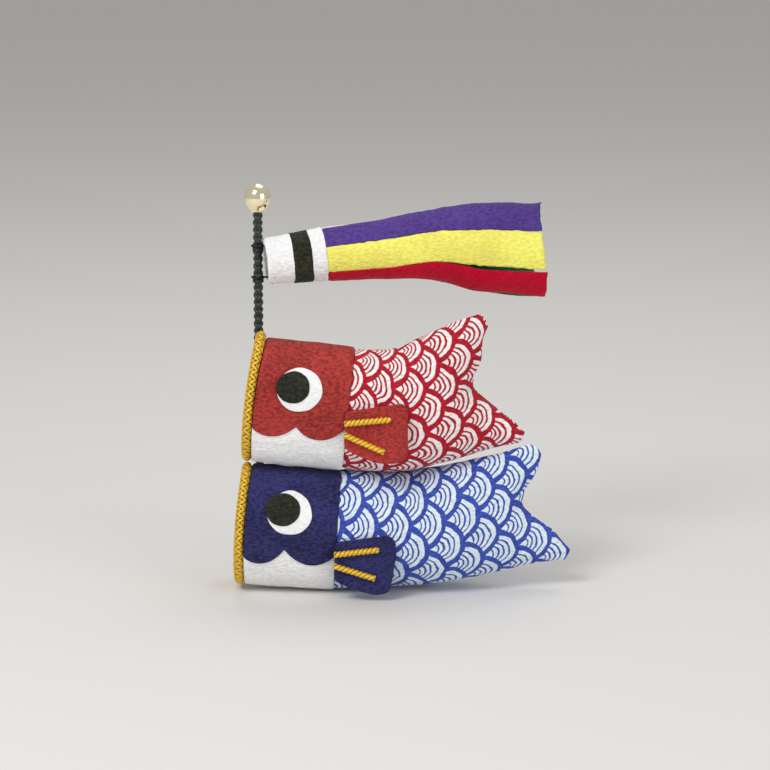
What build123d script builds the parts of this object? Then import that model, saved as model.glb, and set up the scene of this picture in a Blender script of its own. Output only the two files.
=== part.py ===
from build123d import *
import math
import os

# A tabletop carp streamer: two stuffed crepe carp, one on the other, a cord-covered pole behind
# their heads, and a windsock with six ribbon tails that turns on the pole.
# X runs from the mouths to the tails, Y from the viewer's side to the pole's side, and Z is up.
# The origin is the middle of the patch that the lower carp rests on. Everything is in millimetres.

CLOTH = 1.0  # a crepe cover with its backing
LINING = 0.8  # the cloth inside a mouth
BOARD = 1.2  # the card that closes the stuffing behind a mouth
MOUTH_DEPTH = 9.0  # from the mouth's edge to its card
CORD_R = 2.0  # the braid round a mouth
APPLIQUE = 0.8  # an eye's cloth disc, and the pupil's disc on it
GAP = 0.3  # what moves stays at least this far off

POLE_X, POLE_Y = -35.2, 21.5
POLE_CORE_R = 1.0
POLE_R = 1.8
BALL_Z = 156.3
BALL_R = 5.4
BALL_NECK_R = 2.8
FOOT_H = 4.0  # the dipped end of the pole

SLEEVE_WALL = 0.8
SLEEVE_H = 10.0
SLEEVE_CLEAR = 0.4

FIN_Y = 21.1  # the fin's inner face, measured from the carps' middle plane
FIN_CLOTH = 1.2
FIN_CORD_R = 1.1

EYE_R, PUPIL_R = 8.6, 6.5

SOCK_YAW, SOCK_PITCH = 9.0, 6.0  # how the windsock's band points, in degrees
SOCK_MOUTH = (-31.8, POLE_Y, 129.8)
SOCK_MOUTH_R, SOCK_BAND_R = 8.3, 9.9
SOCK_BAND_L = 23.4
SOCK_CARD = 0.6
BAND_SPLITS = (0.0, 0.44, 0.75, 1.0)
RIBBONS = ("purple", "yellow", "red", "green", "blue", "white")
RIBBON_CLOTH = 1.0
RIBBON_SLIT = 0.7
RIBBON_OUT = 0.9  # a ribbon's outer face, above the oval it lies on
RIBBON_FIRST = 0.1375  # the purple ribbon's middle, as a share of the girth up from the viewer
# Where the ribbons run: how far along the windsock, how far below the band's line, the half width
# and half height of the oval they lie on, and how far round it they have turned, as a share.
RIBBON_SECTIONS = (
    (SOCK_BAND_L + 0.3, 0.0, 9.9, 9.9, 0.014),
    (45.4, 0.9, 10.4, 11.0, 0.022),
    (67.0, 1.9, 11.0, 13.4, 0.034),
    (87.3, 5.6, 11.2, 17.3, 0.040),
    (111.2, 9.85, 11.4, 18.45, 0.042),
)
LOOP_THREAD_R = 0.4

FAR = 400.0  # longer than anything here


class Station:
    """One oval cross-section of a carp: its middle, how far its axis points down, and its size."""

    def __init__(self, x, z, pitch, half_height, half_depth):
        self.x, self.z, self.pitch = x, z, pitch
        self.half_height, self.half_depth = half_height, half_depth
        turn = math.radians(pitch)
        self.along = Vector(math.cos(turn), 0, -math.sin(turn))

    def plane(self, ahead=0.0):
        return Plane(
            origin=Vector(self.x, 0, self.z) + self.along * ahead,
            x_dir=(0, 1, 0),
            z_dir=self.along,
        )

    def oval(self, grow=0.0):
        return self.plane() * Ellipse(self.half_depth + grow, self.half_height + grow)


def skin(stations, grow=0.0):
    """The solid through a carp's ovals, each made larger by grow."""
    return loft([s.oval(grow) for s in stations])


def slab(station, start, end):
    """Everything between two planes across a carp's axis, start and end ahead of a station."""
    face = station.plane(start) * Rectangle(FAR, FAR)
    return extrude(face, amount=end - start, dir=tuple(station.along))


def side_prism(points, closed_by=None):
    """A side-view outline, carried right through the carp."""
    edges = Polyline(*points, close=True) if closed_by is None else closed_by
    return extrude(Plane.XZ * make_face(edges), amount=FAR / 2, both=True)


def half(side):
    """The half of space on the viewer's side (-1) or on the pole's side (+1)."""
    return Pos(0, side * FAR / 2, 0) * Box(2 * FAR, FAR, 2 * FAR)


def floor_cut(shape):
    return shape - Pos(0, 0, -FAR / 2) * Box(2 * FAR, 2 * FAR, FAR)


def scallops(head):
    """The head cloth's side, from its two-lobed lower edge up, as a prism."""
    (x0, z0), (x1, z1), (x2, z2) = head["lobes"]
    sag_front, sag_back = head["lobe_sags"]
    edge = [
        ThreePointArc((x0, z0), ((x0 + x1) / 2, (z0 + z1) / 2 - sag_front), (x1, z1)),
        ThreePointArc((x1, z1), ((x1 + x2) / 2, (z1 + z2) / 2 - sag_back), (x2, z2)),
    ]
    reach = 60.0
    rest = Polyline(
        (x2, z2), (x2 + reach, z2), (x2 + reach, z2 + 2 * reach), (x0 - reach, z2 + 2 * reach),
        (x0 - reach, z0), (x0, z0),
    )
    return side_prism(None, closed_by=edge + rest.edges())


def tail_outline(tail, back=0.0):
    """The side view that a carp's body is cut to, its forked end moved forward by back."""
    (tx, tz), (nx, nz), (bx, bz) = tail
    return side_prism([
        (-FAR / 2, -FAR / 2), (-FAR / 2, FAR / 2), (tx - back, FAR / 2), (tx - back, tz),
        (nx - back, nz), (bx - back, bz), (bx - back, -FAR / 2),
    ])


def applique(head_skins, x, z, radius, side, level):
    """A cloth disc that follows the head's side, one cloth thickness above level."""
    disc = Pos(x, 0, z) * Rot(90, 0, 0) * Cylinder(radius, FAR / 2)
    return (head_skins[level + 1] & disc & half(side)) - head_skins[level]


def fin(outline, side):
    """A pectoral fin: a doubled flap of cloth that stands straight down beside the body."""
    points = [(x, z) for x, z in outline]
    face = make_face(Polyline(*points, close=True))
    face = fillet(face.vertices().sort_by(Axis.X)[-4:], 1.6)
    flap = extrude(Plane.XZ * face, amount=FIN_CLOTH)  # grows towards -Y
    flap = Pos(0, -FIN_Y, 0) * flap
    return flap if side < 0 else mirror(flap, about=Plane.XZ)


def rod(a, b, radius):
    a, b = Vector(a), Vector(b)
    return Plane(origin=a, z_dir=b - a) * Cylinder(
        radius, (b - a).length, align=(Align.CENTER, Align.CENTER, Align.MIN)
    )


def fin_cords(lines, side):
    """The two gilt cords glued along a fin."""
    y = side * (FIN_Y + FIN_CLOTH + FIN_CORD_R)
    return [rod((x0, y, z0), (x1, y, z1), FIN_CORD_R) for (x0, z0), (x1, z1) in lines]


def pole_sleeve(z, attach_x, attach_y, head_solid):
    """A cloth loop round the pole, with a tab sewn to the far side of a head."""
    inner = POLE_R + SLEEVE_CLEAR
    tube = Cylinder(inner + SLEEVE_WALL, SLEEVE_H)
    reach = Vector(attach_x - POLE_X, attach_y - POLE_Y, 0)
    tab = Rot(0, 0, math.degrees(math.atan2(reach.Y, reach.X))) * (
        Pos(reach.length / 2, 0, 0) * Box(reach.length, SLEEVE_WALL, SLEEVE_H)
    )
    loop = tube + tab - Cylinder(inner, SLEEVE_H + 1)
    return Pos(POLE_X, POLE_Y, z) * loop - head_solid


def carp(name, c):
    """All the pieces of one carp, by node name."""
    mouth, seam = c["mouth"], c["seam"]
    head_skins = [skin([mouth, seam], i * APPLIQUE) for i in range(3)]
    head_outer = floor_cut(head_skins[0])
    head_inner = skin([mouth, seam], -CLOTH)
    head_shell = head_outer - head_inner
    upper = scallops(c)
    recess = slab(mouth, -1, MOUTH_DEPTH)
    card = slab(mouth, MOUTH_DEPTH, MOUTH_DEPTH + BOARD)
    mouth_void = skin([mouth, seam], -CLOTH - LINING)

    body_stations = [seam] + c["body"]
    body_outer = floor_cut(skin(body_stations) & tail_outline(c["tail"]))
    body_inner = skin(body_stations, -CLOTH) & tail_outline(c["tail"], back=c["tail_hem"])
    body_inner = body_inner - Pos(0, 0, -FAR / 2 + CLOTH) * Box(2 * FAR, 2 * FAR, FAR)
    weight = c.get("weight")

    ring = mouth.plane(-CORD_R)
    path = ring * Ellipse(mouth.half_depth - CORD_R, mouth.half_height - CORD_R).edge()
    start = Plane(origin=path @ 0, z_dir=path % 0)
    nodes = {
        "mouth_cord": sweep(start * Circle(CORD_R), path=path),
        "mouth_lining": head_inner & recess - mouth_void,
        "mouth_board": head_inner & card,
        "head_cover": head_shell & upper,
        "cheek_cover": head_shell - upper,
        "head_padding": head_inner - slab(mouth, -1, MOUTH_DEPTH + BOARD),
        "body_cover": body_outer - body_inner,
        "body_padding": body_inner - weight if weight else body_inner,
        "pole_sleeve": pole_sleeve(*c["sleeve"], head_outer),
    }
    if weight:
        nodes["weight_bag"] = weight
    for side, word in ((-1, "near"), (1, "far")):
        nodes["eye_white_" + word] = applique(head_skins, *c["eye"], EYE_R, side, 0)
        nodes["pupil_" + word] = applique(head_skins, *c["pupil"], PUPIL_R, side, 1)
        nodes["fin_" + word] = fin(c["fin"], side)
        nodes["fin_cords_" + word] = fin_cords(c["fin_cords"], side)
    return {f"{name}_{node}": shape for node, shape in nodes.items()}


# The lower carp, navy, is the longer one and carries the weight.
BLUE = {
    "mouth": Station(-39.0, 26.4, 4.0, 24.9, 19.0),
    "seam": Station(-3.3, 24.0, 3.5, 24.9, 20.5),
    "body": [
        Station(19.2, 23.4, 0.0, 24.1, 20.0),
        Station(40.8, 25.9, -9.0, 25.1, 17.0),
        Station(56.0, 29.2, -11.0, 25.7, 12.5),
        Station(72.0, 33.2, -11.5, 25.8, 7.5),
        Station(96.0, 38.0, -11.5, 25.8, 2.6),
    ],
    "tail": ((76.5, 60.0), (72.0, 34.4), (90.8, 13.0)),
    "tail_hem": 1.6,
    "lobes": ((-40.9, 16.9), (-24.2, 20.5), (-4.2, 17.9)),
    "lobe_sags": (4.3, 5.4),
    "eye": (-21.7, 34.8),
    "pupil": (-24.6, 36.1),
    "fin": (
        (-3.7, 24.4), (17.8, 27.1), (20.4, 24.0), (20.0, 15.0), (17.8, 3.4), (12.8, 2.2),
        (4.0, 4.3), (-4.2, 8.5),
    ),
    "fin_cords": (((-3.6, 19.4), (13.3, 21.4)), ((-3.8, 14.7), (11.7, 9.7))),
    "sleeve": (14.0, -27.0, 12.0),
    "weight": Pos(11.0, 0, 8.0) * Cylinder(10.0, 7.0),
}

# The upper carp, red, is shorter and lies in the curve of the lower one's back.
RED = {
    "mouth": Station(-34.4, 78.7, 6.9, 26.4, 19.0),
    "seam": Station(1.3, 73.9, 6.2, 24.4, 20.0),
    "body": [
        Station(22.0, 74.7, -4.0, 24.8, 19.0),
        Station(38.0, 79.7, -12.0, 26.3, 16.0),
        Station(52.0, 84.6, -13.0, 27.2, 10.0),
        Station(64.0, 87.4, -13.0, 27.2, 6.0),
        Station(82.0, 91.6, -13.0, 27.2, 2.2),
    ],
    "tail": ((54.5, 114.0), (51.0, 82.4), (72.4, 62.5)),
    "tail_hem": 1.6,
    "lobes": ((-36.6, 69.8), (-19.6, 70.6), (-0.2, 70.2)),
    "lobe_sags": (4.2, 5.4),
    "eye": (-17.5, 85.0),
    "pupil": (-20.4, 85.9),
    "fin": (
        (0.7, 77.4), (23.2, 80.6), (25.2, 77.8), (25.2, 59.0), (21.6, 56.0), (13.2, 56.0),
        (6.2, 58.9), (0.0, 62.3),
    ),
    "fin_cords": (((0.6, 72.2), (18.0, 74.0)), ((0.5, 67.6), (15.4, 60.7))),
    "sleeve": (63.0, -27.0, 12.0),
}


def pole():
    """The cord-covered pole, its gilt ball, its foot and the whippings that carry the windsock."""
    at = Pos(POLE_X, POLE_Y, 0)
    low = (Align.CENTER, Align.CENTER, Align.MIN)
    top = BALL_Z - BALL_R + 2.4  # the braid ends inside the ball
    core_top = top + 2.0
    core = Pos(0, 0, 1.0) * Cylinder(POLE_CORE_R, core_top - 1.0, align=low)
    braid = Pos(0, 0, FOOT_H) * Cylinder(POLE_R, top - FOOT_H, align=low) - core
    foot = Cylinder(POLE_R, FOOT_H, align=low) - core
    neck = BALL_Z - BALL_R - 0.6
    shoulder = math.radians(-38)
    outline = [
        Polyline((0, BALL_Z + BALL_R), (0, neck), (BALL_NECK_R, neck)),
        Line((BALL_NECK_R, neck),
             (BALL_R * math.cos(shoulder), BALL_Z + BALL_R * math.sin(shoulder))),
        CenterArc((0, BALL_Z), BALL_R, -38, 128),
    ]
    edges = [e for part in outline for e in part.edges()]
    ball = revolve(Plane.XZ * make_face(edges), Axis.Z)
    ball = ball - Cylinder(POLE_R, top, align=low) - Cylinder(POLE_CORE_R, core_top, align=low)
    wrap = Cylinder(POLE_R + 0.5, 1.4, align=low) - Cylinder(POLE_R, 1.4, align=low)
    return {
        "pole_core": at * core,
        "pole_braid": at * braid,
        "pole_ball": at * ball,
        "pole_foot": at * foot,
        "pole_whippings": [at * Pos(0, 0, z - LOOP_THREAD_R - 1.7) * wrap for z in LOOP_HEIGHTS],
    }


# In the windsock's own frame x is away from the viewer, y is up and z is along it.
SOCK_FRAME = Plane(
    origin=SOCK_MOUTH,
    x_dir=(-math.sin(math.radians(SOCK_YAW)), math.cos(math.radians(SOCK_YAW)), 0),
    z_dir=(
        math.cos(math.radians(SOCK_YAW)) * math.cos(math.radians(SOCK_PITCH)),
        math.sin(math.radians(SOCK_YAW)) * math.cos(math.radians(SOCK_PITCH)),
        math.sin(math.radians(SOCK_PITCH)),
    ),
)
LOOP_HEIGHTS = (SOCK_MOUTH[2] - 6.4, SOCK_MOUTH[2] + 6.4)


def sock_tube(grow, length=SOCK_BAND_L):
    """The band's slightly conical tube, made larger by grow."""
    return SOCK_FRAME * loft([
        Circle(SOCK_MOUTH_R + grow),
        Pos(0, 0, length) * Circle(SOCK_BAND_R + grow),
    ])


def oval_angle(half_width, half_height, share):
    """The angle at which a share of an oval's girth is reached, going up from the viewer's side."""
    steps = 720
    lengths = [0.0]
    for i in range(steps):
        t = 2 * math.pi * (i + 0.5) / steps
        lengths.append(lengths[-1] + math.hypot(half_width * math.sin(t), half_height * math.cos(t)))
    want = (share % 1.0) * lengths[-1]
    i = next(i for i in range(steps) if lengths[i + 1] >= want)
    part = (want - lengths[i]) / (lengths[i + 1] - lengths[i])
    return 2 * math.pi * (i + part) / steps


def ribbon_section(section, share):
    """The cross-section of one ribbon where it crosses one of the windsock's ovals."""
    along, drop, half_width, half_height, turn = section
    girth = math.pi * (half_width + half_height)
    reach = 0.5 / len(RIBBONS) - RIBBON_SLIT / 2 / girth
    shares = [share + turn + reach * k / 4 for k in range(-4, 5)]
    angles = [oval_angle(half_width, half_height, one) for one in shares]
    curves = []
    for grow in (RIBBON_OUT, RIBBON_OUT - RIBBON_CLOTH):
        wide, high = half_width + grow, half_height + grow
        curves.append(Spline([(-wide * math.cos(t), high * math.sin(t) - drop) for t in angles]))
    ends = [Line(curves[0] @ t, curves[1] @ t) for t in (0, 1)]
    edges = [e for line in curves + ends for e in line.edges()]
    return Plane.XY.offset(along) * make_face(edges)


def ribbon(index):
    """One ribbon tail. Each takes an equal share of the girth, less the slit between two."""
    share = RIBBON_FIRST - index / len(RIBBONS)
    return SOCK_FRAME * loft([ribbon_section(s, share) for s in RIBBON_SECTIONS])


def windsock():
    """The card tube, its three crepe bands, the six ribbons and the two loops on the pole."""
    card = sock_tube(0) - sock_tube(-SOCK_CARD)
    cover = sock_tube(CLOTH) - sock_tube(0)
    nodes = {"windsock_card": card}
    for word, start, end in zip(("mouth", "black", "inner"), BAND_SPLITS, BAND_SPLITS[1:]):
        cut = Pos(0, 0, (start + end) / 2 * SOCK_BAND_L) * Box(
            60, 60, (end - start) * SOCK_BAND_L
        )
        nodes[f"windsock_band_{word}"] = cover & SOCK_FRAME * cut
    for index, colour in enumerate(RIBBONS):
        nodes[f"ribbon_{colour}"] = ribbon(index)
    loops = []
    for z in LOOP_HEIGHTS:
        ring = Torus(POLE_R + GAP + LOOP_THREAD_R, LOOP_THREAD_R)
        stitch = rod((POLE_R + GAP + LOOP_THREAD_R, 0, 0), (9.0, 0, 0), LOOP_THREAD_R)
        loop = Pos(POLE_X, POLE_Y, z) * (ring + stitch)
        loops.append(loop - sock_tube(CLOTH))
    nodes["windsock_loops"] = loops
    return nodes


def solids_of(shape):
    shapes = shape if isinstance(shape, list) else [shape]
    return [s for one in shapes for s in one.solids()]


def main():
    os.makedirs("parts", exist_ok=True)
    nodes = {**carp("blue", BLUE), **carp("red", RED), **pole(), **windsock()}
    for name, shape in nodes.items():
        solids = solids_of(shape)
        export_step(Compound(children=solids) if len(solids) > 1 else solids[0],
                    f"parts/{name}.step")
    print(len(nodes), "nodes")


main()
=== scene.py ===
# %% [markdown]
# A tabletop carp streamer. Two stuffed carp of silk crepe lie one on the other. A pole covered with
# braid stands behind their heads, and carries a gilt ball and a windsock with six ribbon tails.
# The imported part gives the frame: every piece below is built where the part says and stands for
# the plain solid that it replaces, and all but the ribbon tails ride on one of its bodies.

import bisect
import math

import bmesh
import bpy
import numpy as np
from mathutils import Matrix, Vector, noise


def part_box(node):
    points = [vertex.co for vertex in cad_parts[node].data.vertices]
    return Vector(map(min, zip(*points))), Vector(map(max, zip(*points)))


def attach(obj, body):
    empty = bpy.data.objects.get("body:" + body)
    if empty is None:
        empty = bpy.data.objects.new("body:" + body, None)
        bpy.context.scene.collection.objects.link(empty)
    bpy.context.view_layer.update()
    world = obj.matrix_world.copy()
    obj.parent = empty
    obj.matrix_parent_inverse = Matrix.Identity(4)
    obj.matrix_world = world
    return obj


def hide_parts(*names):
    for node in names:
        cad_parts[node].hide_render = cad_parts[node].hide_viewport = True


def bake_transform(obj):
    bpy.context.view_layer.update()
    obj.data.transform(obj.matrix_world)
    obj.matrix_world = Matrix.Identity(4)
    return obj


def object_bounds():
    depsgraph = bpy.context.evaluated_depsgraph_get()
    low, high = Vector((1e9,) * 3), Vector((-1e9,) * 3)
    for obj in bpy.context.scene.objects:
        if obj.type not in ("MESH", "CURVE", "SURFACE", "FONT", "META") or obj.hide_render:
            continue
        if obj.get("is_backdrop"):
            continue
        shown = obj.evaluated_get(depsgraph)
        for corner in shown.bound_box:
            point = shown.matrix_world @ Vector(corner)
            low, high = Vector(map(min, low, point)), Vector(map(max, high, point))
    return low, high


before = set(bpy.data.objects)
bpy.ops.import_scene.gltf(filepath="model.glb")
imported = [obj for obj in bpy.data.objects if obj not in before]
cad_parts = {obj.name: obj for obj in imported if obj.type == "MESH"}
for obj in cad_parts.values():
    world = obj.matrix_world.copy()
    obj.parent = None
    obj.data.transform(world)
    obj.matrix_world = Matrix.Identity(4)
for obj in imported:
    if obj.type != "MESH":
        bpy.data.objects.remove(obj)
cad_low, cad_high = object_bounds()
MM = 0.001

# %% [markdown]
# The camera looks along +Y from a little above. A near camera would make the mouths look larger
# than the tails. This one stands more than a metre away with a long lens, so the carp hardly
# taper. The view transform is Standard, because the usual one makes strong printed colours paler.

# %% Camera
AIM = Vector((16.0, 0.0, 83.4)) * MM
CAMERA_DISTANCE, CAMERA_RISE, CAMERA_FIELD = 1.334, math.radians(12), math.radians(13.17)
SENSOR_WIDTH = 36
camera = bpy.data.objects.new("camera", bpy.data.cameras.new("camera"))
bpy.context.scene.collection.objects.link(camera)
back = Vector((0, -math.cos(CAMERA_RISE), math.sin(CAMERA_RISE)))
camera.location = AIM + back * CAMERA_DISTANCE
camera.rotation_mode = "QUATERNION"
camera.rotation_quaternion = (-back).to_track_quat("-Z", "Y")
camera.data.sensor_width = SENSOR_WIDTH
camera.data.lens = SENSOR_WIDTH / 2 / math.tan(CAMERA_FIELD / 2)
camera.data.clip_end = 10
bpy.context.scene.camera = camera
bpy.context.scene.view_settings.view_transform = "Standard"
print("lens", round(camera.data.lens, 1))

# %% [markdown]
# Materials could be joined up node by node, but a long pattern is then hard to read. Here they are
# written as expressions. A Wire is one output of a node, and + - * / < on wires add Math nodes, so
# a pattern reads like a formula.


# %% Wires
class Wire:
    """One output of a node, with the operators that a pattern needs."""

    def __init__(self, finish, socket):
        self.finish, self.socket = finish, socket

    def math(self, operation, *others):
        inputs = dict(enumerate((self, *others)))
        return self.finish.node("Math", {"operation": operation}, inputs)

    def __add__(self, other):
        return self.math("ADD", other)

    __radd__ = __add__

    def __sub__(self, other):
        return self.math("SUBTRACT", other)

    def __rsub__(self, other):
        return self.finish.node("Math", {"operation": "SUBTRACT"}, {0: other, 1: self})

    def __mul__(self, other):
        return self.math("MULTIPLY", other)

    __rmul__ = __mul__

    def __truediv__(self, other):
        return self.math("DIVIDE", other)

    def __lt__(self, other):
        return self.math("LESS_THAN", other)


# %% [markdown]
# A Finish is one material. Its node method makes any node from its type, its settings and what its
# sockets take, and the other methods are the steps that nearly every cloth needs. Numbers that are
# the same all over a surface are set on the shader itself.


# %% Finishes
class Finish:
    """One material: a Principled shader, and the nodes that feed it."""

    def __init__(self, name, **constants):
        self.material = bpy.data.materials.new(name)
        self.material.use_nodes = True
        self.tree = self.material.node_tree
        self.shader = self.tree.nodes["Principled BSDF"]
        for key, value in constants.items():
            self.shader.inputs[key.replace("_", " ")].default_value = value

    def node(self, kind, settings=None, inputs=None, out=0):
        made = self.tree.nodes.new("ShaderNode" + kind)
        for key, value in (settings or {}).items():
            if key == "stops":
                self.fill_ramp(made.color_ramp, value)
            else:
                setattr(made, key, value)
        for key, value in (inputs or {}).items():
            if isinstance(value, Wire):
                self.tree.links.new(value.socket, made.inputs[key])
            else:
                made.inputs[key].default_value = value
        return Wire(self, made.outputs[out])

    def fill_ramp(self, ramp, stops):
        while len(ramp.elements) < len(stops):
            ramp.elements.new(1.0)
        for element, (at, colour) in zip(ramp.elements, stops):
            element.position = at
            element.color = (*colour, 1) if len(colour) == 3 else colour

    def mix(self, share, first, second):
        values = {0: share, 6: rgba(first), 7: rgba(second)}
        return self.node("Mix", {"data_type": "RGBA"}, values, out=2)

    def step(self, value, low, high):
        """0 below low and 1 above high, with a smooth rise between."""
        settings = {"interpolation_type": "SMOOTHSTEP"}
        return self.node("MapRange", settings, {0: value, 1: low, 2: high, 3: 0.0, 4: 1.0})

    def noise(self, place, scale, detail=2.0, out=0):
        values = {"Vector": place, "Scale": scale, "Detail": detail}
        return self.node("TexNoise", {}, values, out)

    def feed(self, **wires):
        for key, wire in wires.items():
            self.tree.links.new(wire.socket, self.shader.inputs[key.replace("_", " ")])

    def parts(self, vector):
        """The x, y and z of a vector."""
        first = self.node("SeparateXYZ", {}, {0: vector})
        return [Wire(self, socket) for socket in first.socket.node.outputs]

    def bump(self, height, strength, distance_mm, under=None):
        values = {"Strength": strength, "Distance": distance_mm * MM, "Height": height}
        if under is not None:
            values["Normal"] = under
        return self.node("Bump", {}, values)


def rgba(colour):
    return (*colour, 1.0) if isinstance(colour, tuple) and len(colour) == 3 else colour


def srgb(red, green, blue):
    """A colour as seen on screen, 0 to 255, as the linear values that shaders take."""
    def linear(c):
        c = c / 255
        return c / 12.92 if c < 0.04045 else ((c + 0.055) / 1.055) ** 2.4

    return (linear(red), linear(green), linear(blue))


# %% [markdown]
# Silk crepe is woven with hard-twisted threads that shrink, which puckers it into fine short
# ridges. Noise stretched one way gives the ridges, a finer one the threads, and a slow one the
# small changes of tone. The colour carries painted shade in the hollows between the ridges and
# painted light on their tops. Sheen gives the soft edge that cloth shows against the light.


# %% Crepe
PUCKER_SCALE, PUCKER_STRETCH = 620, (1.0, 1.0, 1.9)
THREAD_SCALE, TONE_SCALE, TONE_SHARE = 2600, 55, 0.35


def crepe_relief(finish, place, grain=1.0):
    """The puckers and threads of crepe, as a normal."""
    spot = finish.node("Mapping", {}, {"Vector": place, "Scale": PUCKER_STRETCH})
    puckers = finish.noise(spot, PUCKER_SCALE / grain, 2.0)
    threads = finish.noise(place, THREAD_SCALE, 1.0)
    relief = finish.bump(puckers, 1.0, 0.55)
    return puckers, finish.bump(threads, 0.35, 0.10, under=relief)


def crepe(name, colour, shade, grain=1.0):
    """Plain crepe. shade: the hollows' painted shade, as a share of the colour's brightness."""
    finish = Finish(name, Roughness=0.88, Sheen_Weight=0.06, Sheen_Roughness=0.5,
                    Specular_IOR_Level=0.15)
    place = finish.node("TexCoord", out=3)
    puckers, normal = crepe_relief(finish, place, grain)
    slow = finish.noise(place, TONE_SCALE, 3.0)
    # Painted shade in the pucker hollows, painted light on their ridges, and slow random tone.
    dark = tuple(c * shade for c in colour)
    light = tuple(min(1.0, c * (2 - shade)) for c in colour)
    share = finish.step(puckers * (1 - TONE_SHARE) + slow * TONE_SHARE, 0.36, 0.66)
    finish.feed(Base_Color=finish.mix(share, dark, light), Normal=normal)
    return finish.material


# %% [markdown]
# %% [markdown]
# Nine plain cloths differ only in their colour and in how much shade is painted into their
# hollows, so one function makes them all. The darkest cloths get the most painted shade in their
# puckers.

# %% Plain crepes
NAVY = crepe("navy_crepe", srgb(45, 45, 92), 0.5)
RED = crepe("red_crepe", srgb(161, 54, 50), 0.62)
WHITE = crepe("white_crepe", srgb(251, 251, 253), 0.87)
BLACK = crepe("black_crepe", srgb(45, 47, 37), 0.5)
PURPLE = crepe("purple_crepe", srgb(83, 59, 135), 0.74)
YELLOW = crepe("yellow_crepe", srgb(254, 242, 115), 0.86)
CRIMSON = crepe("crimson_crepe", srgb(196, 2, 45), 0.85)
GREEN = crepe("green_crepe", srgb(42, 124, 74), 0.82)
SKY = crepe("sky_crepe", srgb(84, 152, 206), 0.85)
print("plain crepes made")

# %% [markdown]
# The bodies are cut from crepe that is printed with rows of overlapping fan scales. Each scale is
# a disc with its middle on a lattice, and covers the disc towards the tail. So at any place only
# two discs matter: the one from the lattice column just towards the head, and the one before it,
# which lies on top where it reaches. Rings of the chosen disc are left white by the printer.

# %% Printed crepe
WHITE_BANDS = ((-9.0, 2.85), (3.45, 4.62), (5.38, 6.6), (7.38, 8.7), (9.42, 11.25))
COLUMN, ROW, SCALE_REACH, TIP_AHEAD = 6.65, 9.7, 10.58, 2.42
DRIFT, INK_EDGE = 1.9, 0.13


def printed_crepe(name, ground, white, per_column, per_row, first, spread=0.0):
    """per_column and per_row are the steps between scales on the cloth, in millimetres along and
    across, first is the tip of the scale that the others are counted from, and spread is how far
    the ink runs into the white."""
    finish = Finish(name, Roughness=0.85, Sheen_Weight=0.06, Sheen_Roughness=0.5,
                    Specular_IOR_Level=0.15)
    place = finish.node("TexCoord", out=3)
    cut = finish.parts(finish.node("UVMap", {"uv_map": "Cut"}))
    drift = finish.parts(finish.noise(place, 190, 1.0, out=1))
    x = cut[0] / MM + (drift[0] - 0.5) * DRIFT - first[0]
    y = cut[1] / MM + (drift[1] - 0.5) * DRIFT - first[1]
    area = per_column[0] * per_row[1] - per_row[0] * per_column[1]
    along = x * (per_row[1] * COLUMN / area) - y * (per_row[0] * COLUMN / area) - TIP_AHEAD
    across = y * (per_column[0] * ROW / area) - x * (per_column[1] * ROW / area)
    column = (along / COLUMN).math("FLOOR")
    inside = along - column * COLUMN
    odd = column.math("FLOORED_MODULO", 2.0)

    def scale(ahead, parity):
        """How far out in a scale this place is, and whether the scale reaches it."""
        fold = (across + parity * ROW).math("FLOORED_MODULO", 2 * ROW) - ROW
        rise = ROW - fold.math("ABSOLUTE")
        run = inside + ahead
        high = rise * rise
        reach = (run * run + high).math("SQRT") < SCALE_REACH
        x = run + TIP_AHEAD
        ring = ((x * x * 0.36 + (x * x + high) * 1.6).math("SQRT") - x * 0.6) * 1.25
        return ring, reach

    before, covered = scale(COLUMN, 1.0 - odd)
    near, reached = scale(0.0, odd)
    after, _ = scale(-COLUMN, 1.0 - odd)
    ring = before * covered + (near * reached + after * (1.0 - reached)) * (1.0 - covered)
    ring = ring + (finish.noise(place, 900, 1.0) - 0.5) * 0.5
    printed = None
    for low, high in WHITE_BANDS:
        low, high = low + spread, high - spread
        band = finish.step(ring, low - INK_EDGE, low + INK_EDGE)
        band = band * (1.0 - finish.step(ring, high - INK_EDGE, high + INK_EDGE))
        printed = band if printed is None else printed + band
    puckers, normal = crepe_relief(finish, place)
    # Painted shade in the pucker hollows of ink and white, and painted light on the ink's ridges.
    ink = finish.mix(finish.step(puckers, 0.32, 0.68), tuple(c * 0.7 for c in ground),
                     tuple(min(1.0, c * 1.2) for c in ground))
    bare = finish.mix(finish.step(puckers, 0.3, 0.6), tuple(c * 0.8 for c in white), white)
    finish.feed(Base_Color=finish.mix(printed, ink, bare), Normal=normal)
    return finish.material


# %% [markdown]
# The blue and the red cloth have the same scales at a slightly different size and slope, as two
# lengths cut from two bolts do. In the red one the ink has run a little into the white.

# %% The two prints
BLUE_PRINT = printed_crepe("blue_scale_print", srgb(62, 84, 178), srgb(230, 244, 254),
                           (6.9, 0.0), (0.9, 10.6), (3.2, 5.8))
RED_PRINT = printed_crepe("red_scale_print", srgb(178, 28, 46), srgb(252, 242, 242),
                          (6.52, -1.38), (0.98, 9.46), (-0.84, 6.37), spread=0.07)
print("printed crepes made")

# %% [markdown]
# The gilt cords are plaited from flat metallic thread, and the black braid on the pole is silk.
# The creases between strands lie in shade, and that shade is painted. It could be painted crease
# by crease, but a braid has hundreds of them. So each strand carries an attribute that says how
# far out its points lie, and the finish paints shade where that is low: a darker colour and less
# metal.

# %% Cords
FIBRE_SCALE = 5200


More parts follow.
